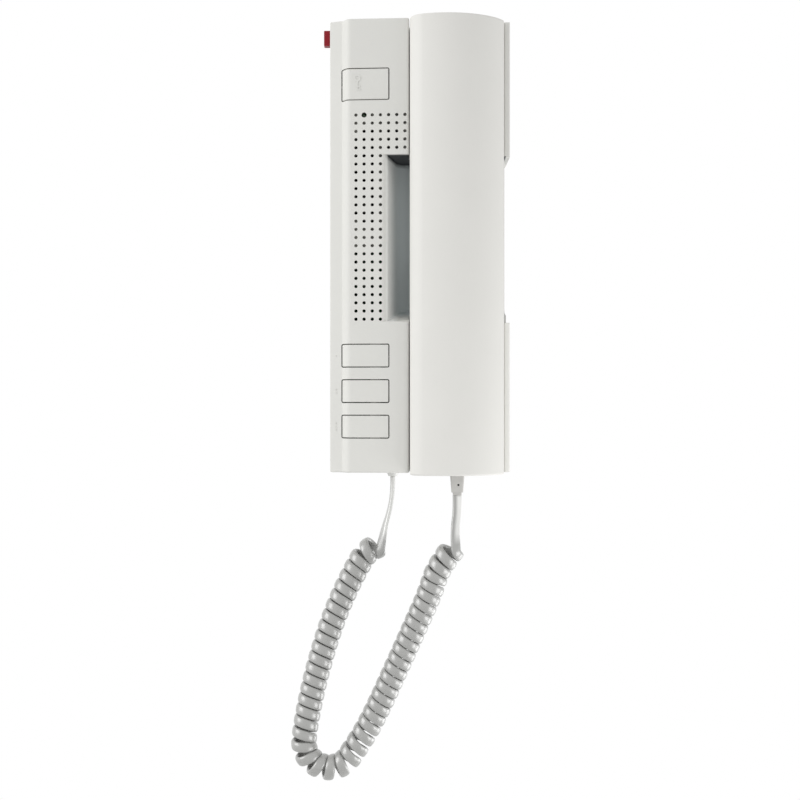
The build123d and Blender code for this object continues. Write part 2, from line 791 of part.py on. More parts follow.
def terminal_middle(i):
    """z of one pole of the terminal block."""
    return -terminal_drop - (i + 0.5) * terminal_pitch


def terminal_block():
    """The screw terminals for the riser's wires."""
    x0 = board_left + seat_gap
    z1 = -terminal_drop
    z0 = z1 - terminal_poles * terminal_pitch
    front = board_front + terminal_height
    body = block(x0, x0 + terminal_width, board_front, front, z0, z1)
    entry = block(x0 + terminal_width * 2 / 3, x0 + terminal_width + overrun, board_front + board_thickness,
                  board_front + terminal_height / 2, -terminal_pitch / 4, terminal_pitch / 4)
    for i in range(terminal_poles):
        z = terminal_middle(i)
        well = terminal_screw_radius + seat_gap
        body -= rod(x0 + terminal_width / 2, z, well, front - terminal_well, crown_depth)
        body -= Pos(0, 0, z) * entry
    return body


def terminal_screws():
    """The screw heads in the terminal block's wells."""
    x = board_left + seat_gap + terminal_width / 2
    front = board_front + terminal_height
    heads = []
    for i in range(terminal_poles):
        z = terminal_middle(i)
        head = rod(x, z, terminal_screw_radius, front - terminal_well, front - terminal_well / 3)
        slot = slab(x, z, 2 * terminal_screw_radius, terminal_well / 4, front - terminal_well / 2, front)
        heads.append((head - slot).solid())
    return Compound(heads)


def capacitor(i):
    """One of the round capacitors, between the door button's switch and the speaker."""
    x = led_x + (2 * i - 1) * (capacitor_radius + led_flange + slider_gap)
    z = first_hole_z + capacitor_radius / 4
    can = rod(x, z, capacitor_radius, board_front, board_front + capacitor_height)
    return fillet(can.edges().sort_by(Axis.Y)[:1], capacitor_radius / 6)


def control_chip():
    """The call decoder's package."""
    x, z, height = bracket_opening()
    chip = slab(x, z, chip_width, chip_length, board_front, board_front + chip_height)
    return chamfer(chip.edges().sort_by(Axis.Y)[:4], chip_height / 6)


def cord_connector():
    """The connector on the board's foot that the cord's inner end goes into."""
    z0 = gland_end + cord_tail_length
    body = slab(gland_x, z0 + plug_base_length / 2, plug_base_width, plug_base_length, board_front,
                board_front + plug_base_height)
    return chamfer(body.edges().sort_by(Axis.Y)[:4], plug_base_height / 12)


def hook_plunger():
    """The plunger in the cradle's floor, with its flange and its guided tail."""
    x, z = handset_x, hook_z
    tip = rod(x, z, hook_radius, hook_flange_depth, hook_tip)
    tip = fillet(tip.edges().sort_by(Axis.Y)[:1], hook_radius / 4)
    flange = rod(x, z, hook_flange, hook_flange_depth, hook_flange_depth + hook_flange_height)
    return tip + flange + rod(x, z, hook_tail, plate_thickness + seat_gap, hook_flange_depth)


def lever_switch():
    """The hook switch on the wall plate, whose thin lever lies under the plunger's flange."""
    x0 = handset_x + hook_flange + slider_gap
    x1 = x0 + lever_switch_width
    z = hook_z + lever_switch_length / 2 - lever_width
    front = plate_thickness + lever_switch_height
    body = block(x0, x1, plate_thickness, front, z - lever_switch_length / 2, z + lever_switch_length / 2)
    lever_back = hook_flange_depth - slider_gap - lever_thickness
    lever = block(handset_x + hook_flange - lever_overlap, x1, lever_back, lever_back + lever_thickness,
                  hook_z - lever_width / 2, hook_z + lever_width / 2)
    lever += block(x1 - 2 * lever_thickness, x1, front - overrun, lever_back + lever_thickness,
                   hook_z - lever_width / 2, hook_z + lever_width / 2)
    return body + lever


def cord_gland():
    """The grommet in the base's bottom edge that the cord leaves through."""
    collar, inside = bottom - seat_gap, bottom + shell + seat_gap
    body = pillar(gland_x, gland_depth, gland_nose, gland_end, collar, gland_radius)
    body += pillar(gland_x, gland_depth, gland_neck, collar, inside)
    body += pillar(gland_x, gland_depth, gland_flange, inside, inside + gland_flange_length)
    return body - pillar(gland_x, gland_depth, wire_radius + fit_gap, gland_end - overrun, inside + shell)


def handset_plan(inset):
    """The handset's section, a flat-sided arch with a rounder left shoulder, or the space in its wall."""
    section = plan([(handset_left + inset, crown_depth), (handset_right - inset, crown_depth),
                    (handset_right - inset, pocket_floor), (handset_left + inset, pocket_floor)])
    section &= Pos(crown_x, crown_radius - crown_depth) * Circle(crown_radius - inset)
    shoulder = min(section.vertices(), key=lambda corner: corner.Y + corner.X)
    section = fillet(shoulder, shoulder_radius - inset)
    edge = max(section.vertices(), key=lambda corner: corner.X - corner.Y)
    return fillet(edge, handset_edge) if inset == 0 else section


def handset_side(inset):
    """The handset from the side: thick ends and a thinner grip between them."""
    grip_high, grip_low = recess_top - grip_margin, recess_bottom + grip_margin
    beyond = crown_depth + 2 * handset_shell
    bends = [(handset_back, grip_low - grip_ramp), (grip_depth, grip_low), (grip_depth, grip_high),
             (handset_back, grip_high + grip_ramp)]
    side = side_view([(beyond, handset_bottom), (handset_back, handset_bottom), *bends,
                      (handset_back, handset_top), (beyond, handset_top)])
    for depth, z in bends:
        side = soften(side, (0, -depth, z), grip_radius)
    return offset(side, -inset) if inset else side


def handset_body(inset):
    """The whole handset as one solid, or the space inside its wall."""
    body = upright(handset_plan(inset), handset_bottom + inset, handset_top - inset)
    if inset == 0:
        ends = body.faces().filter_by(Axis.Z).edges()
        body = fillet([edge for edge in ends if edge.center().Y < -parting_depth], handset_edge)
    body &= across(handset_side(inset), handset_left - overrun, handset_right + overrun)
    for z, radius in ((ear_z, ear_radius), (mic_z, mic_radius)):
        cup = rod(handset_x, z, radius - inset, cup_depth + inset, parting_depth)
        if inset == 0:
            cup = fillet(cup.edges().sort_by(Axis.Y)[-1:], cup_edge)
        body += cup & block(handset_left, handset_right, 0, parting_depth, handset_bottom, handset_top)
    return body


def handset_halves():
    """The handset's front and back shells, parted along its sides."""
    walls = handset_body(0)
    room = handset_body(handset_shell)
    hollow = walls - room
    front = hollow & block(left, right, parting_depth, crown_depth + overrun, 2 * bottom, 2 * top)
    back = hollow & block(left, right, 0, parting_depth - parting_gap, 2 * bottom, 2 * top)
    seat = handset_back + handset_shell
    rest = seat + handset_shell
    for z in handset_screw_z:
        front += rod(handset_x, z, handset_boss, rest + seat_gap, crown_depth) & room
        front -= rod(handset_x, z, handset_screw_radius + fit_gap, 0, seat + handset_screw_length)
        back += rod(handset_x, z, cup_boss, handset_back + handset_shell / 2, rest)
        back -= rod(handset_x, z, handset_screw_head + screw_head_gap, 0, seat)
        back -= rod(handset_x, z, handset_screw_radius + 2 * fit_gap, 0, parting_depth)
    front -= neck_block(seat_gap, handset_bottom - overrun, handset_bottom + handset_shell + overrun)
    back -= sound_holes(ear_z, ear_ring_radius, ear_ring_holes)
    back -= sound_holes(mic_z, mic_ring_radius, mic_ring_holes)
    return front, back


def neck_block(gap, z0, z1):
    """The plug's neck between two heights, with a gap round it."""
    width, thickness = plug_neck_width / 2 + gap, plug_neck_thickness / 2 + gap
    return block(plug_x - width, plug_x + width, plug_depth - thickness, plug_depth + thickness, z0, z1)


def sound_holes(z, ring_radius, counts):
    """A hole in the middle of a cup's face and rings of holes round it."""
    low, high = cup_depth - overrun, cup_depth + handset_shell + overrun
    holes = [rod(handset_x, z, sound_hole, low, high)]
    for number, count in enumerate(counts, start=1):
        reach = number * ring_radius
        for i in range(count):
            turn = 2 * pi * i / count
            holes.append(rod(handset_x + reach * cos(turn), z + reach * sin(turn), sound_hole, low, high))
    return holes


def ring(x, z, outer, inner, d0, d1):
    """A flat ring."""
    return rod(x, z, outer, d0, d1) - rod(x, z, inner, d0 - overrun, d1 + overrun)


def earpiece_gasket():
    """The foam ring in the ear cup."""
    low = cup_depth + handset_shell + seat_gap
    outer = ear_radius - handset_shell - capsule_gap
    return ring(handset_x, ear_z, outer, outer - gasket_width, low, low + gasket_thickness)


def earpiece_capsule():
    """The receiver capsule, with its stepped back."""
    low = capsule_floor
    outer = ear_radius - handset_shell - capsule_gap
    capsule = rod(handset_x, ear_z, outer, low, low + capsule_height / 2)
    return capsule + rod(handset_x, ear_z, outer - capsule_step, low, low + capsule_height)


def microphone_boot():
    """The rubber boot that holds the microphone in its cup."""
    low = cup_depth + handset_shell + seat_gap
    high = low + boot_height
    boot = rod(handset_x, mic_z, mic_radius - handset_shell - capsule_gap, low, high)
    boot -= rod(handset_x, mic_z, mic_capsule_radius + fit_gap, low + gasket_thickness, high + overrun)
    return boot - rod(handset_x, mic_z, mic_capsule_radius / 2, low - overrun, high)


def microphone_capsule():
    """The microphone capsule in its boot."""
    return rod(handset_x, mic_z, mic_capsule_radius, capsule_floor, capsule_floor + mic_capsule_height)


def handset_weight():
    """The steel bar in the grip that presses the hook switch down."""
    low = grip_depth + handset_shell + seat_gap
    bar = slab(handset_x, recess_z, weight_width, weight_height, low, low + weight_thickness)
    return chamfer(bar.edges(), weight_thickness / 12)


def handset_screws():
    """The two screws that hold the handset's shells together."""
    seat = handset_back + handset_shell
    third = handset_shell / 3
    screws = []
    for z in handset_screw_z:
        shank = rod(handset_x, z, handset_screw_radius, seat, seat + handset_screw_length - handset_shell)
        head = rod(handset_x, z, handset_screw_head, seat - 2 * third, seat)
        slot = slab(handset_x, z, 2 * handset_screw_head, third, handset_back, seat - third)
        screws.append((shank + head - slot).solid())
    return Compound(screws)


def handset_socket():
    """The socket inside the handset's bottom end, which the plug's neck goes into."""
    z0 = handset_bottom + handset_shell + seat_gap
    cavity = neck_block(seat_gap, z0 - overrun, handset_bottom + plug_neck_length + seat_gap)
    return neck_block(socket_wall, z0, z0 + socket_length) - cavity


def handset_plug():
    """The cord's plug: a tapered grip with a small eye, a neck in the socket and a tip round the cord."""
    wide = Plane((plug_x, -plug_depth, handset_bottom - seat_gap))
    narrow = Plane((plug_x, -plug_depth, handset_bottom - plug_length))
    rings = [fillet((wide * Rectangle(plug_width, plug_thickness)).vertices(), button_radius),
             fillet((narrow * Rectangle(plug_width * plug_taper, plug_thickness * plug_taper)).vertices(),
                    button_radius * plug_taper)]
    grip = loft(rings)
    grip -= rod(plug_x + plug_eye, handset_bottom - plug_eye_drop, plug_eye, 0, crown_depth)
    tip = Plane((plug_x, -plug_depth, plug_end)) * Rectangle(plug_tip_width, 2 * wire_radius + seat_gap)
    grip += extrude(fillet(tip.vertices(), button_radius), plug_tip_length)
    return grip + neck_block(0, handset_bottom - seat_gap, handset_bottom + plug_neck_length - seat_gap)


def turn_radii(points):
    """The arc at each inner point: 0.45 of the shorter run beside it, over the tangent of half the turn."""
    radii = []
    for before, here, after in zip(points, points[1:], points[2:]):
        run_in, run_out = Vector(*here) - Vector(*before), Vector(*after) - Vector(*here)
        half = radians(run_in.get_angle(run_out)) / 2
        radii.append(0.45 * min(run_in.length, run_out.length) / tan(half))
    return radii


def swept(edges, radius):
    """A round tube along a chain of lines and arcs."""
    path = Wire(edges)
    start = Plane(origin=path.position_at(0), z_dir=path.tangent_at(0))
    return sweep(start * Circle(radius), path=path)


def routed(name, points, radius):
    """A tube along straight runs joined by tangent arcs; prints its arcs and compares its volume."""
    radii = turn_radii(points)
    path = FilletPolyline(*points, radius=radii)
    tube = swept(path.edges(), radius)
    length = path.length
    print(name, "length", round(length, 1), "radii", [round(r, 1) for r in radii],
          "volume share", round(tube.volume / (pi * radius ** 2 * length), 4))
    return tube


def flowing_line(points):
    """A smooth line steered by points: parabolas that touch the middles of the runs between them."""
    points = [Vector(*point) for point in points]
    middles = [(a + b) / 2 for a, b in zip(points[1:-2], points[2:-1])]
    knots = [points[0]] + middles + [points[-1]]
    return Wire([Bezier(a, p, b) for a, p, b in zip(knots, points[1:-1], knots[1:])])


def biarc(start, start_way, end, end_way):
    """Two arcs that join two points and are tangent to a direction at each: both tangent legs are equal."""
    chord, ways = end - start, start_way + end_way
    a, b = 4 - ways.dot(ways), chord.dot(ways)
    leg = (sqrt(b * b + a * chord.dot(chord)) - b) / a
    joint_way = ((end - end_way * leg) - (start + start_way * leg)).normalized()
    joint = (start + start_way * leg + end - end_way * leg) / 2
    return [Edge.make_tangent_arc(start, start_way, joint), Edge.make_tangent_arc(joint, joint_way, end)]


def share_at(shares, place):
    """A value between the listed pairs of place and share."""
    for (p0, s0), (p1, s1) in zip(shares, shares[1:]):
        if p0 <= place <= p1:
            return s0 + (s1 - s0) * (place - p0) / (p1 - p0)
    return shares[-1][1]


def curl_point(axis, length, angle, radius):
    """A point of a left-handed helix round an axis, with angles counted from its front side."""
    centre = axis.position_at(length, PositionMode.LENGTH)
    along = axis.tangent_at(length, PositionMode.LENGTH)
    forward = Vector(0, -1, 0)
    front = (forward - along * along.dot(forward)).normalized()
    return centre + (front * cos(angle) + along.cross(front) * sin(angle)) * radius


def curl_nodes():
    """Points and directions of the curly cord at each half turn, wound as closely as the shares say."""
    axis = flowing_line(coil_route)
    step = 1 / 100
    steps = [share_at(turn_shares, i + 0.5) for i in range(half_turns)]
    places = [axis.length * sum(steps[:i]) / sum(steps) for i in range(half_turns + 1)]
    nodes = []
    for i, place in enumerate(places):
        angle = -pi / 2 - i * pi
        low, high = max(i - 1, 0), min(i + 1, half_turns)
        rate = (places[high] - places[low]) / ((high - low) * pi)
        ends = []
        for side in (-1, 1):
            beside = min(max(place + side * rate * step, 0), axis.length)
            ends.append(curl_point(axis, beside, angle - side * step, curl_radius))
        nodes.append((curl_point(axis, place, angle, curl_radius), (ends[1] - ends[0]).normalized()))
    return nodes


def coil_edges():
    """The curly cord's middle line: its curls, and at each end a quarter turn into a short straight."""
    nodes = curl_nodes()
    first = Vector(*base_lead_route[-1])
    first_way = (first - Vector(*base_lead_route[-2])).normalized()
    last = Vector(*handset_lead_route[-1])
    last_way = (Vector(*handset_lead_route[-2]) - last).normalized()
    straight = 2 * wire_radius
    start, end = first + first_way * straight, last - last_way * straight
    edges = [Edge.make_line(first, start)] + biarc(start, first_way, *nodes[0])
    for (p0, w0), (p1, w1) in zip(nodes, nodes[1:]):
        edges += biarc(p0, w0, p1, w1)
    return edges + biarc(*nodes[-1], end, last_way) + [Edge.make_line(end, last)]


def least_gap(edges, radius):
    """The least clear space between parts of a tube more than half a turn apart, measured on points."""
    step = radius / 2
    points = []
    for edge in edges:
        count = max(2, int(edge.length / step))
        points += [tuple(edge.position_at(i / count)) for i in range(count)]
    apart = int(pi * curl_radius / step)
    nearest = min(dist(here, there) for i, here in enumerate(points) for there in points[i + apart:])
    return nearest - 2 * radius


def cord_coil():
    """The curly cord as one unbroken tube."""
    edges = coil_edges()
    length = sum(edge.length for edge in edges)
    tightest = min(edge.radius for edge in edges if edge.geom_type == GeomType.CIRCLE)
    tube = swept(edges, wire_radius)
    print("cord_coil length", round(length, 1), "tightest arc", round(tightest, 2), "least gap",
          round(least_gap(edges, wire_radius), 2), "volume share",
          round(tube.volume / (pi * wire_radius ** 2 * length), 4))
    return tube


def hook_spring():
    """The plunger's return spring: an open helix between the guide and the flange."""
    low = plate_thickness + hook_guide_height + spring_wire + seat_gap
    high = hook_flange_depth - spring_wire - seat_gap
    nodes = []
    rate = (high - low) / (2 * pi * spring_turns)
    for i in range(2 * spring_turns + 1):
        angle = pi * i
        across_x, up_z = spring_radius * cos(angle), spring_radius * sin(angle)
        nodes.append((Vector(handset_x + across_x, -(low + rate * angle), hook_z + up_z),
                      Vector(-up_z, -rate, across_x).normalized()))
    edges = []
    for (p0, w0), (p1, w1) in zip(nodes, nodes[1:]):
        edges += biarc(p0, w0, p1, w1)
    return swept(edges, spring_wire)


def cord_tail():
    """The cord's inner end, from the gland's nose up into the board's connector."""
    return pillar(gland_x, gland_depth, wire_radius, gland_end, gland_end + cord_tail_length - seat_gap)


def build():
    """Every piece of the intercom by name."""
    front_half, back_half = handset_halves()
    parts = {
        "wall_plate": wall_plate(),
        "front_cover": front_cover(),
        "cover_screws": cover_screws(),
        "circuit_board": circuit_board(),
        "board_screws": board_screws(),
        "terminal_block": terminal_block(),
        "terminal_screws": terminal_screws(),
        "control_chip": control_chip(),
        "cord_connector": cord_connector(),
        "slide_switch": slide_switch(),
        "volume_slider": volume_slider(),
        "status_led": status_led(),
        "speaker_bracket": speaker_bracket(),
        "ringer_speaker": ringer_speaker(),
        "ringer_cone": ringer_cone(),
        "hook_plunger": hook_plunger(),
        "hook_spring": hook_spring(),
        "hook_lever_switch": lever_switch(),
        "door_button": door_button(),
        "door_switch": key_switch(door_z),
        "door_switch_plunger": switch_plunger(door_z),
        "cord_gland": cord_gland(),
        "cord_tail": cord_tail(),
        "handset_front_shell": front_half,
        "handset_back_shell": back_half,
        "handset_screws": handset_screws(),
        "earpiece_gasket": earpiece_gasket(),
        "earpiece_capsule": earpiece_capsule(),
        "earpiece_leads": routed("earpiece_leads", earpiece_lead_route, lead_radius),
        "microphone_boot": microphone_boot(),
        "microphone_capsule": microphone_capsule(),
        "microphone_leads": routed("microphone_leads", microphone_lead_route, lead_radius),
        "handset_weight": handset_weight(),
        "handset_socket": handset_socket(),
        "handset_plug": handset_plug(),
        "cord_base_lead": routed("cord_base_lead", base_lead_route, wire_radius),
        "cord_coil": cord_coil(),
        "cord_handset_lead": routed("cord_handset_lead", handset_lead_route, wire_radius),
    }
    for i in range(capacitor_count):
        parts[f"capacitor_{i + 1}"] = capacitor(i)
    for number, z in enumerate(reversed(service_z), start=1):
        parts[f"service_button_{number}"] = service_button(z)
        parts[f"service_switch_{number}"] = key_switch(z)
        parts[f"service_switch_plunger_{number}"] = switch_plunger(z)
    return parts


os.makedirs("parts", exist_ok=True)
for part_name, shape in build().items():
    export_step(shape, f"parts/{part_name}.step")
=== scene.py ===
import math

import bpy
import numpy as np
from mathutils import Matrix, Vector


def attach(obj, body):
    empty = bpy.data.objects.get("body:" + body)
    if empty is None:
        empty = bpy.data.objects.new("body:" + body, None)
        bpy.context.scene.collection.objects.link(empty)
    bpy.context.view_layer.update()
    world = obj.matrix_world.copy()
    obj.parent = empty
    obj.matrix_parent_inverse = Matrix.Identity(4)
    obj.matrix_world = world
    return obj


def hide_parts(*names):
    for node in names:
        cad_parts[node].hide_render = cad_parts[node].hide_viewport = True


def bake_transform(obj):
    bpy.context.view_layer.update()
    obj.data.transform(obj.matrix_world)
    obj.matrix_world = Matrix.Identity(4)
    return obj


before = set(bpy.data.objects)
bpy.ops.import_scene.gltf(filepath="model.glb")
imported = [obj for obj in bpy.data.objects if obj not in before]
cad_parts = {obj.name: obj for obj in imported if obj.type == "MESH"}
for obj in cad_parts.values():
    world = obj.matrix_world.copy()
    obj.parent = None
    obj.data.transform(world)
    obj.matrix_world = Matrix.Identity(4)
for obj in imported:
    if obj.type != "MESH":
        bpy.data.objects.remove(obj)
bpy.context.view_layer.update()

# Lengths are in metres, except for the camera's sensor, which is in millimetres

# The camera stands where the photograph was taken from: straight ahead, level, with a long lens
frame_pixels = 800
focal_pixels = 1630
sensor = 36.0
camera_place = (-0.00991, -0.845, -0.0756)
camera_clip = (0.05, 20)

# Each lamp's name, place, the point that it looks at, its side and its watts
housing_middle = (0.0, -0.03, -0.03)
cord_middle = (0.0, -0.03, -0.20)
lamps = (
    ("key_lamp", (-1.27, -0.50, 0.33), housing_middle, 0.9, 9.5),
    ("fill_lamp", (0.50, -0.30, -0.40), housing_middle, 0.35, 1.6),
    ("edge_lamp", (0.30, 0.09, -0.37), cord_middle, 0.2, 0.45),
)

# The light from all round, its strength from straight below and straight above, and the floor
sky_colour = (0.96, 0.965, 0.96, 1.0)
seen_colour = (1.0, 1.0, 1.0, 1.0)
sky_below, sky_above = 0.25, 1.0
floor_half = 1.5
floor_height = -0.9

# The finger recess in the front cover, and the edges near it, where light and shade are painted into the
# cover's colour
recess_left, recess_right = -0.0172, 0.0425
recess_bottom, recess_top = -0.0380, 0.0450
recess_floor = 0.0126
recess_middle = 0.0265          # its painted shade is at half strength here, and full towards its floor
recess_wall = -0.0118           # the left wall lies on the left of this
face_inside = 0.0460            # well behind the cover's face
face_front = 0.0476             # only the face itself stands further out
handset_edge = -0.0075          # middle of the stretch of the face where the handset's shadow is painted
rim_left, rim_front = 0.0385, 0.0381    # the right rim lies right of one and in front of the other
rim_top = -0.0375               # its low end, with painted light, lies below this

# The cord: flat, with its wide side against the coil
cord_width = 0.0049
cord_thickness = 0.0024
cord_sides = 20
corner_power = 0.82             # below 1, the cord's section fills its corners
narrowest_share = 0.78          # of the cord's width, where the turns leave little room
room_share = 0.95               # of the room between turns that the cord may fill
curl_radius = 0.0052
half_turns = 93
rings_per_turn = 36
coil_parts = 400                # the coil's direction is read over two of these parts of it
spline_steps = 24
turn_shares = (
    (0, 1.2), (1.5, 1.3), (3.5, 1.0), (34, 1.0), (40, 1.16), (52, 1.16), (58, 0.95), (88, 0.95), (93, 1.15),
)
coil_route = [
    (-0.0220, -0.0274, -0.1490), (-0.0266, -0.0274, -0.1512), (-0.0312, -0.0276, -0.1588),
    (-0.0363, -0.0283, -0.1687), (-0.0410, -0.0291, -0.1792), (-0.0454, -0.0301, -0.1910),
    (-0.0492, -0.0311, -0.2036), (-0.0526, -0.0320, -0.2162), (-0.0554, -0.0330, -0.2292),
    (-0.0573, -0.0338, -0.2402), (-0.0580, -0.0344, -0.2486), (-0.0535, -0.0351, -0.2557),
    (-0.0455, -0.0357, -0.2586), (-0.0375, -0.0362, -0.2560), (-0.0327, -0.0368, -0.2490),
    (-0.0260, -0.0378, -0.2384), (-0.0194, -0.0389, -0.2250), (-0.0132, -0.0400, -0.2112),
    (-0.0070, -0.0411, -0.1974), (-0.0009, -0.0422, -0.1836), (0.0049, -0.0433, -0.1704),
    (0.0087, -0.0442, -0.1580), (0.0153, -0.0450, -0.1495),
]
base_lead_route = [
    (-0.0135, -0.0270, -0.1137), (-0.0135, -0.0270, -0.1210), (-0.0150, -0.0287, -0.1305),
    (-0.0179, -0.0319, -0.1396), (-0.0190, -0.0319, -0.1464),
]
handset_lead_route = [
    (0.01815, -0.0450, -0.1222), (0.01815, -0.0450, -0.1304), (0.0169, -0.0482, -0.1386),
    (0.0172, -0.0492, -0.1452),
]

# The leads between the coil and the fittings
base_lead_rings, handset_lead_rings = 40, 30
lead_run = 0.0032               # how far each runs straight on before it turns into the coil
turn_handle = 0.0027            # how long it keeps its direction in that turn
turn_rings = 14
edge_on = np.array([0.1, 1.0, 0.0])     # where the cord's wide side points at the grommet
edge_on_power = 1.5             # how late it turns to the coil's own direction
plug_turn, coil_turn = 30, 68   # degrees from the right towards the wall, at the plug and at the coil
lead_side = 0.004               # the base lead lies left of -lead_side, the handset lead right of lead_side
lead_bottom = -0.1435           # the leads' painted light ends here

# A dark pin deep in the eye of the cord's plug, put in as painted shade where the eye shows dark
eye_place = (0.01868, -0.0466, -0.1172)
eye_shade_radius = 0.00053 * 0.94
eye_shade_length = 0.0036
eye_shade_edge = 0.0002
eye_shade_sides = 40
eye_shade_back = 0.7                # the share of its radius where its bevelled back ends
eye_shade_face = ((0.35, -0.00012), (0.7, -0.00034), (0.88, -0.0003), (1.0, -0.0001))   # shares and places


class Socket:
    """One output of a node. Sums and products of it add Math nodes."""

    def __init__(self, nodes, link):
        self.nodes = nodes
        self.link = link

    def maths(self, operation, a, b=0.0):
        """One Math node on a number or two."""
        return self.nodes.node("Math", {"operation": operation}, {0: a, 1: b})

    def __add__(self, other):
        return self.maths("ADD", self, other)

    def __radd__(self, other):
        return self.maths("ADD", other, self)

    def __sub__(self, other):
        return self.maths("SUBTRACT", self, other)

    def __rsub__(self, other):
        return self.maths("SUBTRACT", other, self)

    def __mul__(self, other):
        return self.maths("MULTIPLY", self, other)

    def __rmul__(self, other):
        return self.maths("MULTIPLY", other, self)

    def __truediv__(self, other):
        return self.maths("DIVIDE", self, other)

    def between_0_and_1(self):
        """The number itself, held between 0 and 1."""
        return self.maths("MINIMUM", self.maths("MAXIMUM", self, 0.0), 1.0)

    def above(self, level, softness):
        """0 under a level and 1 over it, with a soft step of the given width between."""
        return ((self - level) / softness + 0.5).between_0_and_1()

    def below(self, level, softness):
        """1 under a level and 0 over it, with a soft step of the given width between."""
        return ((level - self) / softness + 0.5).between_0_and_1()


class Nodes:
    """A node tree that nodes are added to."""

    def __init__(self, tree):
        self.tree = tree

    def node(self, kind, settings, values, output=0):
        """Add a node: its settings first, then the values or links of its sockets; gives one output."""
        made = self.tree.nodes.new("ShaderNode" + kind)
        for name, value in settings.items():
            setattr(made, name, value)
        for key, value in values.items():
            self.put(made.inputs[key], value)
        return Socket(self, made.outputs[output])

    def put(self, socket, value):
        """Link a socket, or set its value."""
        if isinstance(value, Socket):
            self.tree.links.new(value.link, socket)
        else:
            socket.default_value = value


class Finish(Nodes):
    """A material under construction, with the object's own coordinates to hand."""

    def __init__(self, name):
        self.material = bpy.data.materials.new(name)
        self.material.use_nodes = True
        super().__init__(self.material.node_tree)
        self.shader = self.tree.nodes["Principled BSDF"]
        self.place = self.node("TexCoord", {}, {}, "Object")

    def noise(self, scale, detail=3.0, roughness=0.55, place=None):
        """Fractal noise at a scale in features per metre."""
        values = {"Vector": place or self.place, "Scale": scale, "Detail": detail, "Roughness": roughness}
        return self.node("TexNoise", {}, values, "Fac")

    def cells(self, scale):
        """Distance to the nearest of many scattered points, at a scale in points per metre."""
        return self.node("TexVoronoi", {}, {"Vector": self.place, "Scale": scale}, "Distance")

    def mix(self, factor, start, end):
        """A colour between two colours."""
        a, b = (colour if isinstance(colour, Socket) else (*colour, 1.0) for colour in (start, end))
        return self.node("Mix", {"data_type": "RGBA"}, {0: factor, 6: a, 7: b}, 2)

    def axis(self, name):
        """One coordinate of the object, in metres."""
        return self.node("SeparateXYZ", {}, {0: self.place}, name)

    def attribute(self, name):
        """A number kept with each point of the piece."""
        return self.node("Attribute", {"attribute_name": name}, {}, "Fac")

    def stretched(self, scale):
        """The object's coordinates, multiplied per axis."""
        return self.node("VectorMath", {"operation": "MULTIPLY"}, {0: self.place, 1: scale})

    def bump(self, height, distance, strength):
        """A normal that follows a height, in metres for a height of one."""
        return self.node("Bump", {}, {"Height": height, "Distance": distance, "Strength": strength})

    def set(self, **inputs):
        """Set or link the shader's own sockets; gives the finished material."""
        for name, value in inputs.items():
            self.put(self.shader.inputs[name.replace("_", " ")], value)
        return self.material


def scaled(colour, share):
    """A colour with each of its three parts multiplied."""
    return tuple(value * share for value in colour)


def moulded_white(name, colour, grain, rough, painted_shading=False):
    """Spark-grained white moulding: a fine pebbled skin, a faint cloudiness and a dusting of grey specks.
    It can also carry the light and shade painted in and around the front cover's finger recess."""
    finish = Finish(name)
    cloud = finish.noise(45, detail=2.0)
    speck = finish.noise(2600, detail=1.0).above(0.70, softness=0.06)
    tint = finish.mix(cloud, scaled(colour, 0.965), colour)
    tint = finish.mix(speck * 0.10, tint, scaled(colour, 0.6))
    if painted_shading:
        tint = painted_recess_light_and_shade(finish, tint, colour)
    pebble = finish.noise(grain, detail=2.0, roughness=0.6) + finish.noise(grain * 2.7, detail=1.0) * 0.4
    return finish.set(Base_Color=tint, Roughness=rough + pebble * 0.10,
                      Normal=finish.bump(pebble, distance=0.00003, strength=0.6), Specular_IOR_Level=0.4)


def painted_recess_light_and_shade(finish, tint, colour):
    """The front cover's painted light and shade: grey painted shade deep inside the finger recess, painted
    light on its left wall and a nearly black painted shadow under its upper edge; a painted shadow of the
    handset on the face beside it, most at its foot; painted light on the low end of the right rim."""
    x, z, depth = finish.axis("X"), finish.axis("Z"), -1 * finish.axis("Y")
    inside = x.above(recess_left, softness=0.001) * x.below(recess_right, softness=0.0005)
    inside = inside * z.above(recess_bottom, softness=0.0005) * z.below(recess_top, softness=0.0003)
    inside = inside * depth.above(recess_floor, softness=0.0004)
    # painted light on the recess's left wall, grey painted shade deep inside it, a nearly black painted
    # shadow under its upper edge
    wall = x.below(recess_wall, softness=0.003) * depth.below(face_inside + 0.0005, softness=0.002) * inside
    deep = depth.below(recess_middle, softness=0.017) * inside
    under = z.above(recess_top - 0.0018, softness=0.0022) * depth.below(face_inside, softness=0.003) * inside
    # painted shadow of the handset on the face beside it
    handset_shadow_mask = x.above(handset_edge, softness=0.0039) * depth.above(face_front, softness=0.0004)
    # painted light on the low end of the right rim
    rim_light_mask = x.above(rim_left, softness=0.001) * z.below(rim_top, softness=0.001)
    rim_light_mask = rim_light_mask * depth.above(rim_front, softness=0.0004)
    # the handset's painted shadow is stronger towards the cover's foot
    towards_foot = 0.75 - z * 4.0
    painted_wall_light, painted_deep_shade = (0.95, 0.955, 0.94), (0.50, 0.54, 0.545)
    painted_under_shadow, painted_rim_light = (0.03, 0.033, 0.036), (0.86, 0.855, 0.82)
    tint = finish.mix(handset_shadow_mask * handset_shadow_mask * towards_foot, tint, scaled(colour, 0.76))
    tint = finish.mix(wall, tint, painted_wall_light)
    tint = finish.mix(deep * (1 - wall * 0.5), tint, painted_deep_shade)
    tint = finish.mix(under, tint, painted_under_shadow)
    return finish.mix(rim_light_mask, tint, painted_rim_light)


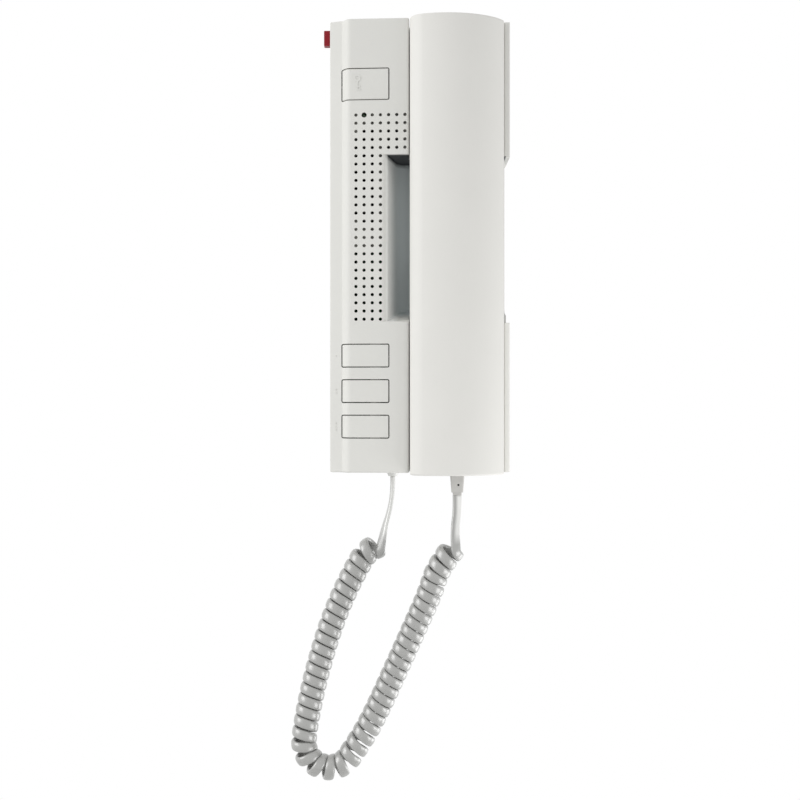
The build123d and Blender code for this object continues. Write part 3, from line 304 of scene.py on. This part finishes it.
def moulded_plain(name, colour, rough):
    """Plain engineering moulding, satin, with flow marks and a light grain."""
    finish = Finish(name)
    flow = finish.noise(120, roughness=0.6, place=finish.stretched((1.0, 1.0, 0.35)))
    grain = finish.noise(1500, detail=2.0)
    tint = finish.mix(flow, scaled(colour, 0.82), colour)
    return finish.set(Base_Color=tint, Roughness=rough + flow * 0.12,
                      Normal=finish.bump(grain, distance=0.00002, strength=0.5))


def polished_red(name):
    """The lever: clear red moulding with a worn, slightly paler crown."""
    finish = Finish(name)
    cloud = finish.noise(300)
    scratch = finish.noise(900, detail=4.0, roughness=0.7, place=finish.stretched((0.2, 1.0, 1.0)))
    tint = finish.mix(cloud, (0.20, 0.006, 0.012), (0.31, 0.010, 0.02))
    tint = finish.mix(scratch.above(0.66, softness=0.1) * 0.25, tint, (0.45, 0.10, 0.10))
    return finish.set(Base_Color=tint, Roughness=0.34 + scratch * 0.2,
                      Normal=finish.bump(scratch, distance=0.00001, strength=0.4), Specular_IOR_Level=0.25)


def cord_jacket(name, colour, painted_lead_light):
    """Extruded cord jacket: glossy, with faint drawing lines along it and a slightly uneven surface. Its
    leads are paler than its curls with painted light, apart from the base lead's left side and one edge of
    the handset lead, which stay darker as painted shade."""
    finish = Finish(name)
    round_cord, facing = finish.attribute("round_cord"), finish.attribute("facing")
    drawn = finish.node("TexNoise", {"noise_dimensions": "1D"},
                        {"W": round_cord * 30, "Scale": 1.0, "Detail": 3.0}, "Fac")
    uneven = finish.noise(260, detail=2.0)
    tint = finish.mix(uneven, scaled(colour, 0.93), colour)
    x, z = finish.axis("X"), finish.axis("Z")
    # painted light on the leads, kept off the base lead's side that faces left and off one edge of the
    # handset lead, as painted shade
    shaded_left_side = facing.below(-0.6, softness=0.2)
    base_lead = x.below(-lead_side, softness=0.002) * (1 - shaded_left_side * 0.7)
    handset_lead = x.above(lead_side, softness=0.002) * round_cord.above(0.40, softness=0.18)
    tint = finish.mix((base_lead + handset_lead) * z.above(lead_bottom, softness=0.005), tint, painted_lead_light)
    return finish.set(Base_Color=tint, Roughness=0.34 + uneven * 0.12 + drawn * 0.06,
                      Normal=finish.bump(drawn * 0.5 + uneven, distance=0.00002, strength=0.3),
                      Specular_IOR_Level=0.6, Coat_Weight=1.0, Coat_Roughness=0.30, Coat_IOR=1.9)


def fitting_plastic(name, colour):
    """Glossier light grey moulding of the cord's fittings."""
    finish = Finish(name)
    cloud = finish.noise(220)
    scuff = finish.noise(1400, roughness=0.7).above(0.62, softness=0.12)
    tint = finish.mix(cloud, scaled(colour, 0.92), colour)
    return finish.set(Base_Color=tint, Roughness=0.32 + scuff * 0.2,
                      Normal=finish.bump(scuff, distance=0.00001, strength=0.3), Coat_Weight=0.15)


def plated_steel(name):
    """Zinc-plated steel: bright, with a fine turned grain and dull spangles."""
    finish = Finish(name)
    turned = finish.noise(2200, detail=2.0, roughness=0.6, place=finish.stretched((1.0, 0.15, 1.0)))
    tint = finish.mix(finish.cells(900.0), (0.52, 0.53, 0.54), (0.72, 0.72, 0.70))
    return finish.set(Base_Color=tint, Metallic=1.0, Roughness=0.28 + turned * 0.25,
                      Normal=finish.bump(turned, distance=0.00001, strength=0.5))


def drawn_can(name):
    """Drawn aluminium cans, with rings of tool marks."""
    finish = Finish(name)
    rings = finish.noise(700, detail=2.0, roughness=0.6, place=finish.stretched((0.1, 1.0, 0.1)))
    stain = finish.noise(90)
    tint = finish.mix(stain, (0.60, 0.61, 0.63), (0.78, 0.78, 0.79))
    return finish.set(Base_Color=tint, Metallic=1.0, Roughness=0.22 + rings * 0.3,
                      Normal=finish.bump(rings, distance=0.00001, strength=0.6))


def lacquered_board(name):
    """Green lacquered laminate with copper tracks under the lacquer, tinned pads and a glass weave."""
    finish = Finish(name)
    x, z = finish.axis("X"), finish.axis("Z")
    track_pitch, threads = 0.0016, 9000
    wander = finish.noise(160, detail=0.0) * 0.004
    track = x.maths("PINGPONG", x + wander, track_pitch).above(0.0011, softness=0.0002)
    pad = finish.cells(210.0).below(0.16, softness=0.03)
    weave = x.maths("SINE", x * threads) * z.maths("SINE", z * threads)
    tint = finish.mix(track, (0.012, 0.10, 0.035), (0.03, 0.19, 0.06))
    tint = finish.mix(pad, tint, (0.55, 0.55, 0.52))
    return finish.set(Base_Color=tint, Roughness=0.25 + weave * 0.05 + track * 0.05, Coat_Weight=0.2,
                      Normal=finish.bump(track + weave * 0.1, distance=0.00004, strength=0.6))


def coated_paper(name, colour):
    """Pressed, coated fibre: mottled and matt, with short fibres standing in it."""
    finish = Finish(name)
    fibre = finish.noise(1800, detail=4.0, roughness=0.7, place=finish.stretched((1.0, 1.0, 0.3)))
    mottle = finish.noise(200)
    tint = finish.mix(mottle, scaled(colour, 0.6), colour)
    tint = finish.mix(fibre.above(0.6, softness=0.1) * 0.3, tint, scaled(colour, 2.0))
    return finish.set(Base_Color=tint, Roughness=0.75 + fibre * 0.2,
                      Normal=finish.bump(fibre, distance=0.00008, strength=0.7))


def open_foam(name):
    """Open-celled black foam."""
    finish = Finish(name)
    cell = finish.cells(1300.0)
    tint = finish.mix(cell, (0.008, 0.008, 0.009), (0.05, 0.05, 0.052))
    return finish.set(Base_Color=tint, Roughness=0.95,
                      Normal=finish.bump(cell, distance=0.0003, strength=0.9))


def soft_rubber(name):
    """Moulded rubber with a bloom of grey dust."""
    finish = Finish(name)
    bloom = finish.noise(150, detail=4.0, roughness=0.65)
    tint = finish.mix(bloom.above(0.5, softness=0.5), (0.018, 0.018, 0.018), (0.05, 0.05, 0.048))
    return finish.set(Base_Color=tint, Roughness=0.62 + bloom * 0.2,
                      Normal=finish.bump(bloom, distance=0.00005, strength=0.4))


def wire_jacket(name):
    """The thin red and black jackets of the wires in the handset, twisted together."""
    finish = Finish(name)
    z = finish.axis("Z")
    turn = z.maths("SINE", z * 700)
    tint = finish.mix(turn.above(0.0, softness=0.2), (0.02, 0.02, 0.022), (0.35, 0.02, 0.02))
    return finish.set(Base_Color=tint, Roughness=0.38 + finish.noise(500) * 0.1,
                      Normal=finish.bump(turn, distance=0.0001, strength=0.6), Coat_Weight=0.1)


def tinted_lens(name):
    """The lamp: a dark green, glossy lens in front, on tinned legs behind."""
    finish = Finish(name)
    lens = (-1 * finish.axis("Y")).above(0.0392, softness=0.0004)
    glow = finish.noise(500, detail=2.0)
    tint = finish.mix(glow, (0.02, 0.05, 0.02), (0.05, 0.11, 0.05))
    tint = finish.mix(lens, (0.62, 0.62, 0.60), tint)
    return finish.set(Base_Color=tint, Metallic=1 - lens, Roughness=0.3 - lens * 0.22 + glow * 0.05,
                      Coat_Weight=lens * 0.5)


def dress(material, *nodes):
    """Give CAD nodes a material."""
    for name in nodes:
        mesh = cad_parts[name].data
        mesh.materials.clear()
        mesh.materials.append(material)


def spline_points(route):
    """The points of a NURBS spline steered by a route, as an array: a smooth line near its corners."""
    curve = bpy.data.curves.new("route", "CURVE")
    curve.dimensions = "3D"
    curve.resolution_u = spline_steps
    spline = curve.splines.new("NURBS")
    spline.points.add(len(route) - 1)
    spline.points.foreach_set("co", np.hstack([np.array(route), np.ones((len(route), 1))]).ravel())
    spline.order_u = 3
    spline.use_endpoint_u = True
    holder = bpy.data.objects.new("route", curve)
    bpy.context.collection.objects.link(holder)
    bpy.context.view_layer.update()
    mesh = bpy.data.meshes.new_from_object(holder)
    points = np.empty(3 * len(mesh.vertices))
    mesh.vertices.foreach_get("co", points)
    bpy.data.objects.remove(holder)
    bpy.data.meshes.remove(mesh)
    bpy.data.curves.remove(curve)
    return points.reshape(-1, 3)


def unit(vectors):
    """Vectors divided by their lengths."""
    return vectors / np.linalg.norm(vectors, axis=-1, keepdims=True)


def lengths_along(points):
    """Length from the first point to each point of a polyline."""
    steps = np.linalg.norm(np.diff(points, axis=0), axis=1)
    return np.concatenate([[0.0], np.cumsum(steps)])


def resampled(points, places):
    """Points of a polyline at given lengths along it."""
    along = lengths_along(points)
    return np.column_stack([np.interp(places, along, points[:, i]) for i in range(3)])


def evenly(points, count):
    """A polyline's line cut into even steps by a number of points."""
    return resampled(points, np.linspace(0, lengths_along(points)[-1], count))


def across(vectors, tangents):
    """Vectors made square to tangents, of length one."""
    return unit(vectors - tangents * np.sum(vectors * tangents, axis=1, keepdims=True))


def coil_line():
    """The curls: centre + curl_radius (front cos t + side sin t), t falling from -90 degrees by half turns,
    where front is the side towards the camera and side = tangent x front. Also gives the coil's own direction
    and the clear distance between neighbouring turns at each point."""
    axis = spline_points(coil_route)
    total = lengths_along(axis)[-1]
    turns = np.linspace(0, half_turns, half_turns * rings_per_turn // 2 + 1)
    knots, shares = np.array(turn_shares).T
    steps = np.interp(np.arange(half_turns) + 0.5, knots, shares)
    marks = np.concatenate([[0.0], np.cumsum(steps)]) / steps.sum() * total
    places = np.interp(turns, np.arange(half_turns + 1), marks)
    reach = total / coil_parts
    ahead = resampled(axis, np.clip(places + reach, 0, total))
    behind = resampled(axis, np.clip(places - reach, 0, total))
    tangents = unit(ahead - behind)
    front = across(np.broadcast_to([0.0, -1.0, 0.0], tangents.shape), tangents)
    side = np.cross(tangents, front)
    t = (-math.pi / 2 - turns * math.pi)[:, None]
    out = front * np.cos(t) + side * np.sin(t)
    bend = np.gradient(tangents, places, axis=0)
    pitch = 2 * np.gradient(places, turns)
    room = pitch * (1 - curl_radius * np.sum(bend * out, axis=1))
    return resampled(axis, places) + out * curl_radius, tangents, room


def joined(start, start_way, end, end_way):
    """Points of a cubic Bezier curve between two points with given directions, without its ends:
    a (1 - t)^3 + 3 b t (1 - t)^2 + 3 c t^2 (1 - t) + d t^3, where a and d are the two points, and b and c
    lie turn_handle from them along the directions."""
    t = np.linspace(0, 1, turn_rings + 2)[1:-1, None]
    b, c = start + start_way * turn_handle, end - end_way * turn_handle
    return start * (1 - t) ** 3 + 3 * b * t * (1 - t) ** 2 + 3 * c * t ** 2 * (1 - t) + end * t ** 3


def cord_path():
    """The whole cord's middle line, with the direction of its wide side and its width at each point."""
    curls, along, room = coil_line()
    lead_in = spline_points(base_lead_route)
    lead_out = spline_points(handset_lead_route)[::-1]
    way_in, way_out = unit(lead_in[-1] - lead_in[-2]), unit(lead_out[1] - lead_out[0])
    first, last = lead_in[-1] + way_in * lead_run, lead_out[0] - way_out * lead_run
    turn_in = joined(first, way_in, curls[0], unit(curls[1] - curls[0]))
    turn_out = joined(curls[-1], unit(curls[-1] - curls[-2]), last, way_out)
    lead_in, lead_out = evenly(lead_in, base_lead_rings), evenly(lead_out, handset_lead_rings)
    points = np.vstack([lead_in, first, turn_in, curls, turn_out, last, lead_out])

    before, after = len(lead_in) + 1 + len(turn_in), len(turn_out) + 1 + len(lead_out)
    rise = np.linspace(0, 1, before)[:, None] ** edge_on_power
    fall = np.linspace(0, 1, after)[:, None]
    twist = np.radians(coil_turn - (coil_turn - plug_turn) * fall)
    turned = np.hstack([np.cos(twist), np.sin(twist), np.zeros_like(twist)])
    wide_in = edge_on * (1 - rise) + along[0] * rise
    wide_out = along[-1] * (1 - fall) ** 2 + turned * fall
    wide = np.vstack([wide_in, along, wide_out])
    coil_widths = np.clip(room * room_share, narrowest_share * cord_width, cord_width)
    widths = np.concatenate([np.full(before, cord_width), coil_widths, np.full(after, cord_width)])
    return points, wide, widths


def skinned(name, rings, ends):
    """A closed piece through rings of points, with a fan from each end ring to its middle."""
    count, sides = rings.shape[:2]
    vertices = np.vstack([rings.reshape(-1, 3), ends])
    j = np.arange(sides)
    k = (j + 1) % sides
    low = (np.arange(count - 1) * sides)[:, None]
    high = low + sides
    quads = np.stack([low + j, low + k, high + k, high + j], -1).reshape(-1, 4)
    start, end, last_ring = count * sides, count * sides + 1, (count - 1) * sides
    fans = np.vstack([np.column_stack([np.full(sides, start), k, j]),
                      np.column_stack([np.full(sides, end), last_ring + j, last_ring + k])])
    mesh = bpy.data.meshes.new(name)
    mesh.from_pydata(vertices.tolist(), [], quads.tolist() + fans.tolist())
    mesh.shade_smooth()
    piece = bpy.data.objects.new(name, mesh)
    bpy.context.collection.objects.link(piece)
    return piece


def flat_tube(name, points, wide, widths):
    """A flat cord with round edges: each ring is a superellipse, x = w/2 |cos a|^p and y = h/2 |sin a|^p with
    the signs of cos a and sin a, laid square to the path with its wide axis along the given directions.
    Two numbers go with each point: round_cord = |a / pi - 1|, and facing, the x of the surface's normal."""
    tangents = unit(np.gradient(points, axis=0))
    wide = across(wide, tangents)
    thin = np.cross(tangents, wide)
    angle = np.linspace(0, 2 * math.pi, cord_sides, endpoint=False)
    x, y = (np.sign(part) * np.abs(part) ** corner_power / 2 for part in (np.cos(angle), np.sin(angle)))
    rings = points[:, None] + wide[:, None] * (x[:, None] * widths[:, None, None])
    rings = rings + thin[:, None] * (y[:, None] * cord_thickness)
    piece = skinned(name, rings, points[[0, -1]])
    both_ends = np.zeros(2)
    round_cord = np.append(np.tile(np.abs(angle / math.pi - 1), len(points)), both_ends)
    normals = np.empty(3 * len(piece.data.vertices))
    piece.data.vertex_normals.foreach_get("vector", normals)
    for label, values in (("round_cord", round_cord), ("facing", normals[::3])):
        numbers = piece.data.attributes.new(label, "FLOAT", "POINT")
        numbers.data.foreach_set("value", values.astype(np.float32))
    return piece


def curly_cord(material):
    """The cord from the base's grommet to the handset's plug, as one piece in place of the CAD cord's three
    parts.
    """
    points, wide, widths = cord_path()
    piece = flat_tube("curly_cord", points, wide, widths)
    piece.data.materials.append(material)
    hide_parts("cord_base_lead", "cord_coil", "cord_handset_lead")
    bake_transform(piece)


def turned_pin(name, profile, centre):
    """A pin turned about a line along Y: each profile point (r, y) gives the ring r cos a, y, -r sin a."""
    radius, reach = np.array(profile).T
    angle = np.linspace(0, 2 * math.pi, eye_shade_sides, endpoint=False)
    rings = np.stack([np.outer(radius, np.cos(angle)), np.outer(reach, np.ones(eye_shade_sides)),
                      -np.outer(radius, np.sin(angle))], -1) + np.array(centre)
    return skinned(name, rings, rings[[0, -1]].mean(axis=1))


def eye_shade_pin():
    """A dark pin deep in the plug's eye, painted shade where the eye shows dark, with a dimpled face and a
    bevelled back.
    """
    front = [(eye_shade_radius * share, reach) for share, reach in eye_shade_face]
    back = [(eye_shade_radius, eye_shade_length - eye_shade_edge), (eye_shade_radius * eye_shade_back, eye_shade_length)]
    piece = turned_pin("eye_shade_pin", front + back, eye_place)
    piece.data.materials.append(moulded_plain("eye_shade_black", (0.012, 0.012, 0.013), rough=0.7))
    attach(piece, "handset")


def lamp(name, place, target, size, watts):
    """A soft square lamp that looks at a point."""
    data = bpy.data.lights.new(name, "AREA")
    data.size = size
    data.energy = watts
    made = bpy.data.objects.new(name, data)
    bpy.context.collection.objects.link(made)
    made.location = place
    away = Vector(place) - Vector(target)
    made.rotation_euler = away.to_track_quat("Z", "Y").to_euler()


def camera():
    """The photograph's camera."""
    data = bpy.data.cameras.new("camera")
    data.lens = focal_pixels / frame_pixels * sensor
    data.sensor_width = sensor
    data.clip_start, data.clip_end = camera_clip
    made = bpy.data.objects.new("camera", data)
    bpy.context.collection.objects.link(made)
    made.location = camera_place
    made.rotation_euler = (math.pi / 2, 0, 0)
    bpy.context.scene.camera = made
    bpy.context.scene.view_settings.view_transform = "Standard"


def surroundings():
    """A world that lights from all round, less from below, and is white where the camera sees it, also in a
    reflection or through something clear."""
    world = bpy.data.worlds.new("studio")
    bpy.context.scene.world = world
    world.use_nodes = True
    sky = Nodes(world.node_tree)
    up = sky.node("SeparateXYZ", {}, {0: sky.node("TexCoord", {}, {}, "Generated")}, "Z")
    strength = sky.node("MapRange", {}, {"Value": up, "From Min": -1.0, "From Max": 1.0,
                                         "To Min": sky_below, "To Max": sky_above})
    camera_ray, glossy_ray, clear_ray = (sky.node("LightPath", {}, {}, f"Is {kind} Ray")
                                         for kind in ("Camera", "Glossy", "Transmission"))
    seen = camera_ray.maths("MAXIMUM", camera_ray, camera_ray.maths("MAXIMUM", glossy_ray, clear_ray))
    soft = sky.tree.nodes["Background"]
    sky.put(soft.inputs["Color"], sky_colour)
    sky.put(soft.inputs["Strength"], strength)
    white = sky.node("Background", {}, {"Color": seen_colour})
    shown = sky.node("MixShader", {}, {0: seen, 1: Socket(sky, soft.outputs[0]), 2: white})
    sky.put(sky.tree.nodes["World Output"].inputs["Surface"], shown)


def floor():
    """A pale paper floor, well below."""
    mesh = bpy.data.meshes.new("floor")
    signs = ((-1, -1), (1, -1), (1, 1), (-1, 1))
    corners = [(x * floor_half, y * floor_half, floor_height) for x, y in signs]
    mesh.from_pydata(corners, [], [(0, 1, 2, 3)])
    made = bpy.data.objects.new("floor", mesh)
    bpy.context.collection.objects.link(made)
    finish = Finish("floor_paper")
    paper = finish.mix(finish.noise(3), (0.78, 0.78, 0.78), (0.82, 0.82, 0.82))
    made.data.materials.append(finish.set(Base_Color=paper, Roughness=0.9))


def dress_base():
    """The base's housing, buttons, lever and grommet."""
    white = (0.725, 0.72, 0.69)
    dress(moulded_white("cover_white", white, grain=1700, rough=0.48, painted_shading=True), "front_cover")
    base_white = moulded_white("base_white", white, grain=1700, rough=0.48)
    dress(base_white, "wall_plate", "door_button", "service_button_1", "service_button_2", "service_button_3")
    dress(polished_red("lever_red"), "volume_slider")
    dress(fitting_plastic("grommet_white", (0.74, 0.74, 0.72)), "cord_gland")


def dress_inside():
    """The board and what stands on it, the speaker, the hook and its switch, and all the screws, with the
    handset's socket and weight, which share the cream plastic and the steel."""
    dress(moulded_plain("bracket_cream", (0.66, 0.65, 0.60), rough=0.42), "speaker_bracket", "cord_connector",
          "handset_socket", "hook_plunger")
    dress(moulded_plain("switch_black", (0.03, 0.03, 0.032), rough=0.4), "ringer_speaker", "control_chip",
          "slide_switch", "hook_lever_switch")
    for kind, ending in (("door", ""), ("service", "_1"), ("service", "_2"), ("service", "_3")):
        body = moulded_plain(f"switch_black{ending}", (0.035, 0.035, 0.036), rough=0.4)
        stem = moulded_plain(f"stem_grey{ending}", (0.32, 0.32, 0.33), rough=0.4)
        dress(body, f"{kind}_switch{ending}")
        dress(stem, f"{kind}_switch_plunger{ending}")
    dress(coated_paper("cone_paper", (0.045, 0.044, 0.042)), "ringer_cone")
    dress(lacquered_board("board_green"), "circuit_board")
    dress(moulded_plain("terminal_green", (0.05, 0.24, 0.09), rough=0.38), "terminal_block")
    dress(plated_steel("zinc_steel"), "cover_screws", "board_screws", "terminal_screws", "handset_screws",
          "handset_weight", "hook_spring")
    dress(tinted_lens("lamp_lens"), "status_led")


def dress_handset():
    """The handset's shells, its plug, its capsules and their wires, and the board's two capacitors."""
    dress(moulded_white("handset_white", (0.76, 0.75, 0.72), grain=1900, rough=0.45), "handset_front_shell",
          "handset_back_shell")
    dress(fitting_plastic("plug_grey", (0.56, 0.55, 0.53)), "handset_plug")
    dress(drawn_can("can_metal"), "earpiece_capsule", "microphone_capsule", "capacitor_1", "capacitor_2")
    dress(open_foam("foam_black"), "earpiece_gasket")
    dress(soft_rubber("boot_rubber"), "microphone_boot")
    dress(wire_jacket("wire_pair"), "earpiece_leads", "microphone_leads")


camera()
for settings in lamps:
    lamp(*settings)
surroundings()
floor()

dress_base()
dress_inside()
dress_handset()
jacket = cord_jacket("cord_white", (0.33, 0.33, 0.318), painted_lead_light=(0.70, 0.70, 0.68))
dress(jacket, "cord_tail", "cord_base_lead", "cord_coil", "cord_handset_lead")
curly_cord(jacket)
eye_shade_pin()
